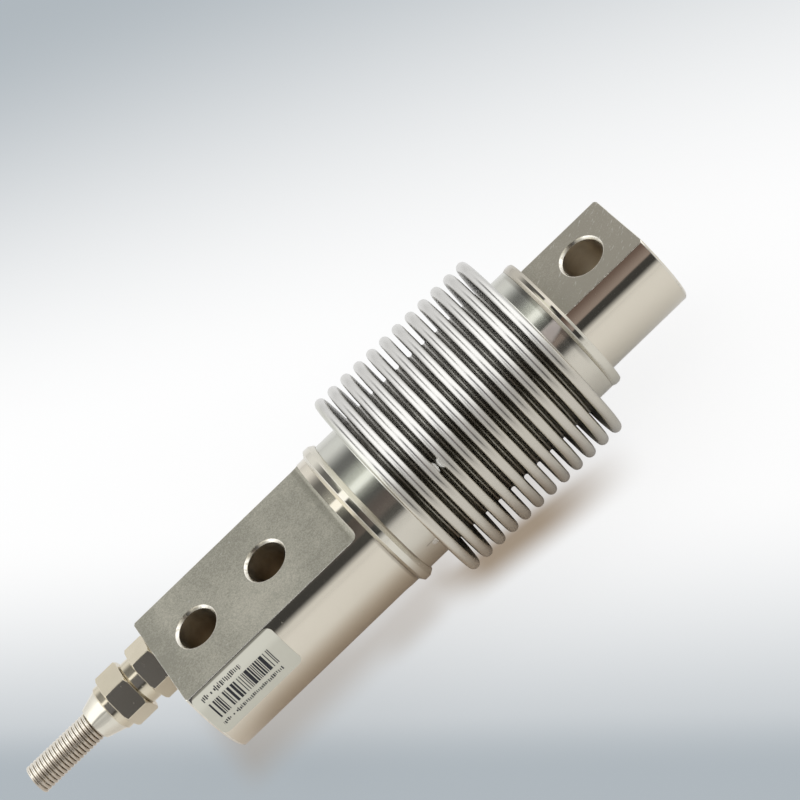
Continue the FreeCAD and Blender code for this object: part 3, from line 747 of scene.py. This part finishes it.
# Weld rings: a lead, a band and a slope, with rounded corners
fixedRingSizes = {"start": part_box("fixed_weld_ring")[0].x, "bore": 15.87 * mm, "startWall": 0.03 * mm,
                  "wall": 1.08 * mm, "endWall": 0.43 * mm,
                  "lead": 0.75 * mm, "band": 1.25 * mm, "slope": 1.05 * mm,
                  "cornerRound": 0.17 * mm, "roundSteps": 3, "turnSteps": 180}
loadRingSizes = {"start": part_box("load_weld_ring")[0].x, "bore": 14.80 * mm, "startWall": 0.20 * mm,
                 "wall": 0.50 * mm, "endWall": 0.18 * mm,
                 "lead": 0.85 * mm, "band": 0.80 * mm, "slope": 0.55 * mm,
                 "cornerRound": 0.13 * mm, "roundSteps": 3, "turnSteps": 180}
for node, name, sizes, plate in (("fixed_weld_ring", "fixedRing", fixedRingSizes, fixedRingPlate),
                                 ("load_weld_ring", "loadRing", loadRingSizes, loadRingPlate)):
    rule = Rule(name + "Line")
    s = {key: rule.size(key, value) for key, value in sizes.items()}
    index = rule.out(rule.node("GeometryNodeInputIndex"))
    along = s["start"] + (index > 1.5) * s["lead"] + (index > 2.5) * s["band"] + (index > 3.5) * s["slope"]
    away = s["bore"] + (abs(index - 1) < 0.5) * s["startWall"] + (abs(index - 2.5) < 1) * s["wall"]
    away = away + (abs(index - 4) < 0.5) * s["endWall"]
    rounds = s["cornerRound"] * (abs(index - 2.5) < 2)
    section = rule.turnedLine(6, along, away, rounds, s["roundSteps"], s["turnSteps"], True)
    piece = rule.grow(name, section, plate)
    facesOutward(piece.data)
    evenNormals(piece)
    standFor(piece, node)


# Gland: the solids' own forms with softened edges
glandEdges = {"brass": 0.12 * mm, "washer": 0.07 * mm}
for node, name, finish, slot, width in (
        ("gland_body", "glandBody", brassPlated, "nickel_plated_brass", glandEdges["brass"]),
        ("gland_nut", "glandNut", brassPlated, "nickel_plated_brass", glandEdges["brass"]),
        ("gland_sealing_washer", "glandWasher", nylonNatural, "washer_nylon", glandEdges["washer"])):
    piece = mergedCopy(node, name, [finish])
    roundEdges(piece, width)
    standFor(piece, node)


# Label: a film with printed bars of chance widths and rows of plain upright strokes;
# a block of print runs from and to in millimetres, then from and to in degrees
labelSizes = {"stripes": (2.2, 17.4, 64.8, 78.2), "stripePitch": 0.185, "strokePitch": 0.43,
              "topRow": (2.2, 11.7, 57.4, 62.2), "lowRow": (1.9, 17.2, 81.2, 85.0),
              "lowerHalf": (61, 68), "shadowedEdge": (54.2, 55.3)}
# label tones: the paper's upper and lower halves, the painted shadow at its top edge, and the ink
labelTones = {"upper": ((0.67, 0.66, 0.575), (0.635, 0.625, 0.54)), "paintedShade": (0.22, 0.21, 0.17),
              "lower": ((0.575, 0.565, 0.485), (0.535, 0.525, 0.45)), "ink": (0.02, 0.02, 0.025)}
f = Finish("labelFilm")
x, turn = f.turned()[:2]
run = (x - endX) / mm


def chance(pitch, seed):  # one value for each step along the label
    step = f.math("FLOOR", run / pitch) + seed
    return f.out(f.node("ShaderNodeTexWhiteNoise", {"noise_dimensions": "1D"}, {"W": step}))


def stripes(pitch, low, high, below, above):  # steps inked by chance join to bars of many widths
    spaced = f.math("FRACT", f.math("FLOOR", run / pitch) / 5) > 0.1
    block = f.within(run, low, high, 0.04) * f.within(turn, below, above, 0.2)
    return (chance(pitch, 11) > 0.36) * spaced * block


def strokes(pitch, low, high, below, above):  # thin upright strokes of chance width and height, no signs
    filled = f.math("FRACT", run / pitch) < chance(pitch, 3) * 0.4 + 0.36
    ragged = (above - below) * 0.35
    tall = f.within(turn, below + chance(pitch, 5) * ragged, above - chance(pitch, 7) * ragged, 0.2)
    return filled * tall * (chance(pitch, 9) > 0.1) * f.within(run, low, high, 0.04)


inked = stripes(labelSizes["stripePitch"], *labelSizes["stripes"])
for row in (labelSizes["topRow"], labelSizes["lowRow"]):
    inked = inked + strokes(labelSizes["strokePitch"], *row)
cloud = f.noise(300, 3)
upperPaper, lowerPaper = (f.blend(cloud, rgb(*tint), rgb(*deep))
                          for tint, deep in (labelTones["upper"], labelTones["lower"]))
# painted shade: the paper darker on its lower half
paper = f.blend(f.smooth(turn, *labelSizes["lowerHalf"]), upperPaper, lowerPaper)
# painted shadow of the flat's edge along the label's top
paper = f.blend(1 - f.smooth(turn, *labelSizes["shadowedEdge"]), paper, rgb(*labelTones["paintedShade"]))
ink = f.math("MINIMUM", inked, 1.0) * (f.smooth(f.noise(5200, 2), 0.25, 0.45) * 0.08 + 0.92)  # slightly worn
labelFilm = f.close(f.shader(Base_Color=f.blend(ink, paper, rgb(*labelTones["ink"])),
                             Roughness=0.38 + f.noise(1200, 3) * 0.12, Specular_IOR_Level=0.25,
                             Normal=f.bump(f.noise(420, 3), 0.2, 0.02 * mm)))
label = mergedCopy("label", "labelSticker", [labelFilm])
label.data.set_sharp_from_angle(angle=creaseAngle)
standFor(label, "label")


# Hidden pieces keep their solids
hiddenFinish = {"gauge": filmAmber, "terminal": laminateGreen, "resistor": ceramicWhite, "wires": wireCopper,
                "plug": resinBlack, "seal": rubberBlack, "thrust": brassPlated}
for node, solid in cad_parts.items():
    for word, finish in hiddenFinish.items():
        if word in node and not solid.hide_render:
            solid.data.materials[0] = finish
print("hidden pieces dressed")


# Stage: a pale floor that fades to grey blue at both ends, seen as paper by everything but the camera
floorSizes = {"height": cadLow.z - 0.05 * mm, "half": 4.0, "glow": 0.84, "glowStrength": 1.01, "rough": 0.9}
floorTones = {"pale": (0.985, 0.986, 0.987), "faded": (0.43, 0.475, 0.51), "shade": (0.39, 0.315, 0.24),
              "paper": (0.93, 0.93, 0.93), "under": (0.62, 0.52, 0.43)}
corners = [(x * floorSizes["half"], y * floorSizes["half"], floorSizes["height"])
           for x, y in ((-1, -1), (1, -1), (1, 1), (-1, 1))]
floorMesh = bpy.data.meshes.new("floor")
floorMesh.from_pydata(corners, [], [(0, 1, 2, 3)])
floor = newPiece("floor", floorMesh)
f = Finish("floorPaper")
x, y = (axis / mm for axis in f.axes(f.place)[:2])
nearEnd = x * 0.747 + y * 0.663
farFade = f.smooth(x * 0.62 + y * 0.785, 75, 235)
nearFade = 1 - f.smooth(nearEnd, -38, 36) * f.smooth(nearEnd, -23, -10)
tone = f.blend(farFade + nearFade, rgb(*floorTones["pale"]), rgb(*floorTones["faded"]))
# the shade under the bellows runs along a slanted line, the beam's is deepest a little way out
slant = y + 9.5 + (x - 38) * 0.17
bellowsShade = f.smooth(slant, -9.6, -0.6) * (1 - f.smooth(slant, 0.5, 5) * 0.66) * f.within(y, -40, 14, 5)
bellowsShade = bellowsShade * f.smooth(x, 26, 39) * (1 - f.smooth(x, 50, 76))
beamShade = f.smooth(y, -14.5, -3.5) * (1 - f.smooth(y, 8, 22)) * f.within(x, -24, 33, 4) * 0.46
beamShade = beamShade * (1 - f.smooth(y, -5, -1) * f.smooth(x, 0, 15) * 0.3)
cornerShade = f.within(x, 13, 27, 5) * f.within(y, -13, -7, 3) * 0.2
tone = f.blend(bellowsShade + beamShade + cornerShade, tone, rgb(*floorTones["shade"]))
camera = f.out(f.node("ShaderNodeLightPath"), "Is Camera Ray")
# for reflections the paper is darker and warmer under the object, a painted shadow
under = 1 - f.smooth(abs(y), 8, 48)
under = under * (f.within(x, -20, 62, 14) + f.within(x, -60, -20, 14) * 0.3)
paperTone = f.blend(under, rgb(*floorTones["paper"]), rgb(*floorTones["under"]))
paper, shaded = (f.shader(Base_Color=colour, Roughness=floorSizes["rough"], Specular_IOR_Level=0.0)
                 for colour in (paperTone, tone))
glow = f.out(f.node("ShaderNodeEmission", {}, {"Color": tone, "Strength": floorSizes["glowStrength"]}))
seen = f.out(f.node("ShaderNodeMixShader", {}, {0: floorSizes["glow"], 1: shaded, 2: glow}))
floorMesh.materials.append(f.close(f.out(f.node("ShaderNodeMixShader", {}, {0: camera, 1: paper, 2: seen}))))

# A bright tent with a dark gap towards the camera and a lit strip across it; leans run in degrees from
# straight up towards the label's side, each with its level
tentMiddle = ((-90, 0.80), (-74, 0.95), (-62, 0.95), (-55, 0.775), (-45, 0.42), (-36, 0.20), (-30, 0.18),
              (1, 0.18), (3, 1.4), (14, 1.4), (16.5, 0.075), (45, 0.065), (71.5, 0.052), (81, 0.83),
              (90, 0.83))
tentSides = ((-90, 0.9), (-66, 1.0), (-43, 1.25), (-24, 1.58), (-7, 1.6), (25, 1.55), (37, 1.28), (44, 0.88),
             (51, 0.68), (65, 0.58), (80, 0.67), (90, 0.70))
tentTones = {"brownTop": (0.086, 0.062, 0.054), "brownLow": (0.18, 0.15, 0.14), "cuff": (0.66, 0.68, 0.62),
             "front": (0.084, 0.086, 0.10), "dip": (0.12, 0.12, 0.115), "soft": (0.44, 0.44, 0.44),
             "seen": (0.215, 0.2375, 0.255), "strength": 2.0}
world = bpy.data.worlds.new("tent")
world.use_nodes = True
world.node_tree.nodes.clear()
scene.world = world
t = Tree(world.node_tree)
dx, dy, dz = t.axes(t.out(t.node("ShaderNodeTexCoord"), "Generated"))
lean = t.math("ARCTAN2", -dy, dz) * (180 / math.pi)
wide = abs(dx)


def tentRamp(stops, place):
    strength = tentTones["strength"]
    stops = [((angle + 90) / 180, rgb(*[level / strength] * 3)) for angle, level in stops]
    return t.out(t.node("ShaderNodeValToRGB", {"stops": stops}, {0: place}))


middle = tentRamp(tentMiddle, (lean - (3.5 + dx * 8) * t.smooth(lean, 45, 60) + 90) / 180)
sides = tentRamp(tentSides, (lean + 90) / 180)
# a warm patch low down, towards the load end
brown = t.within(lean, 37.5, 62.5, 1.5) * t.smooth(dx, -0.12, 0.06)
brownTone = t.blend(t.smooth(lean, 39, 62), rgb(*tentTones["brownTop"]), rgb(*tentTones["brownLow"]))
middle = t.blend(brown, middle, brownTone)
# a narrow band straight across lights the cuffs
cuffLift = (t.within(lean, 22, 42, 6) + t.within(lean, 63, 74, 3)) * (1 - t.smooth(dx, -0.01, 0.01))
cuffGlow = t.within(lean, -13, 20, 12) + cuffLift * 0.065
cuffGlow = cuffGlow * (1 - t.smooth(wide, 0.0505, 0.0545))
middle = t.blend(cuffGlow, middle, rgb(*tentTones["cuff"]))
# darker parts towards the gland, for the slopes turned that way
front = t.smooth(-dx, 0.13, 0.17) * t.within(lean, 20, 64, 5)
middle = t.blend(front, middle, rgb(*tentTones["front"]))
dip = t.within(lean, 27, 43, 5) * t.smooth(-dx, 0.5, 0.65)
sides = t.blend(dip * 0.8, sides, rgb(*tentTones["dip"]))
# the middle gives way to the sides, further out below the strip
lowered = t.smooth(lean, 3, 16)
share = t.smooth(wide + t.smooth(dx, 0.10, 0.16) * 0.1, 0.20 + lowered * 0.08, 0.36 + lowered * 0.08)
tentColour = t.blend(share, middle, sides)
rays = t.node("ShaderNodeLightPath")
tentColour = t.blend(t.out(rays, "Is Glossy Ray"), rgb(*tentTones["soft"]), tentColour)
tentColour = t.blend(t.out(rays, "Is Camera Ray"), tentColour, rgb(*tentTones["seen"]))
background = t.node("ShaderNodeBackground", {}, {"Color": tentColour, "Strength": tentTones["strength"]})
t.node("ShaderNodeOutputWorld", {}, {"Surface": t.out(background)})

lamps = {"keyLamp": {"place": (-0.10, 0.30, 0.60), "size": 0.35, "power": 0.5},
         "fillLamp": {"place": (-0.35, -0.35, 0.5), "size": 0.5, "power": 0.2}}
lampTarget = Vector((0.04, 0, 0))
for name, sizes in lamps.items():
    data = bpy.data.lights.new(name, "AREA")
    data.size = sizes["size"]
    data.energy = sizes["power"]
    lamp = newPiece(name, data)
    lamp.location = sizes["place"]
    lamp.rotation_euler = (lampTarget - lamp.location).to_track_quat("-Z", "Y").to_euler()
    lamp.visible_glossy = False
    lamp.visible_camera = False

# Camera: the beam lies level, the picture is rolled
cameraSizes = {"place": (0.054907, -0.341451, 0.344185), "lens": 112.77, "sensor": 36, "roll": 43.3,
               "right": (0.99983271, 0.00210993, -0.01816847), "up": (0.01182768, 0.6831082, 0.7302214),
               "back": (0.01395175, -0.73031413, 0.68296897)}
right, up, back = (Vector(cameraSizes[name]) for name in ("right", "up", "back"))
roll = math.radians(cameraSizes["roll"])
cameraData = bpy.data.cameras.new("photoCamera")
cameraData.lens = cameraSizes["lens"]
cameraData.sensor_width = cameraSizes["sensor"]
photoCamera = newPiece("photoCamera", cameraData)
rolledRight = right * math.cos(roll) - up * math.sin(roll)
rolledUp = right * math.sin(roll) + up * math.cos(roll)
turnMatrix = Matrix((rolledRight, rolledUp, back)).transposed().to_4x4()
photoCamera.matrix_world = Matrix.Translation(cameraSizes["place"]) @ turnMatrix
scene.camera = photoCamera
scene.view_settings.view_transform = "Standard"
print("stage and camera set")
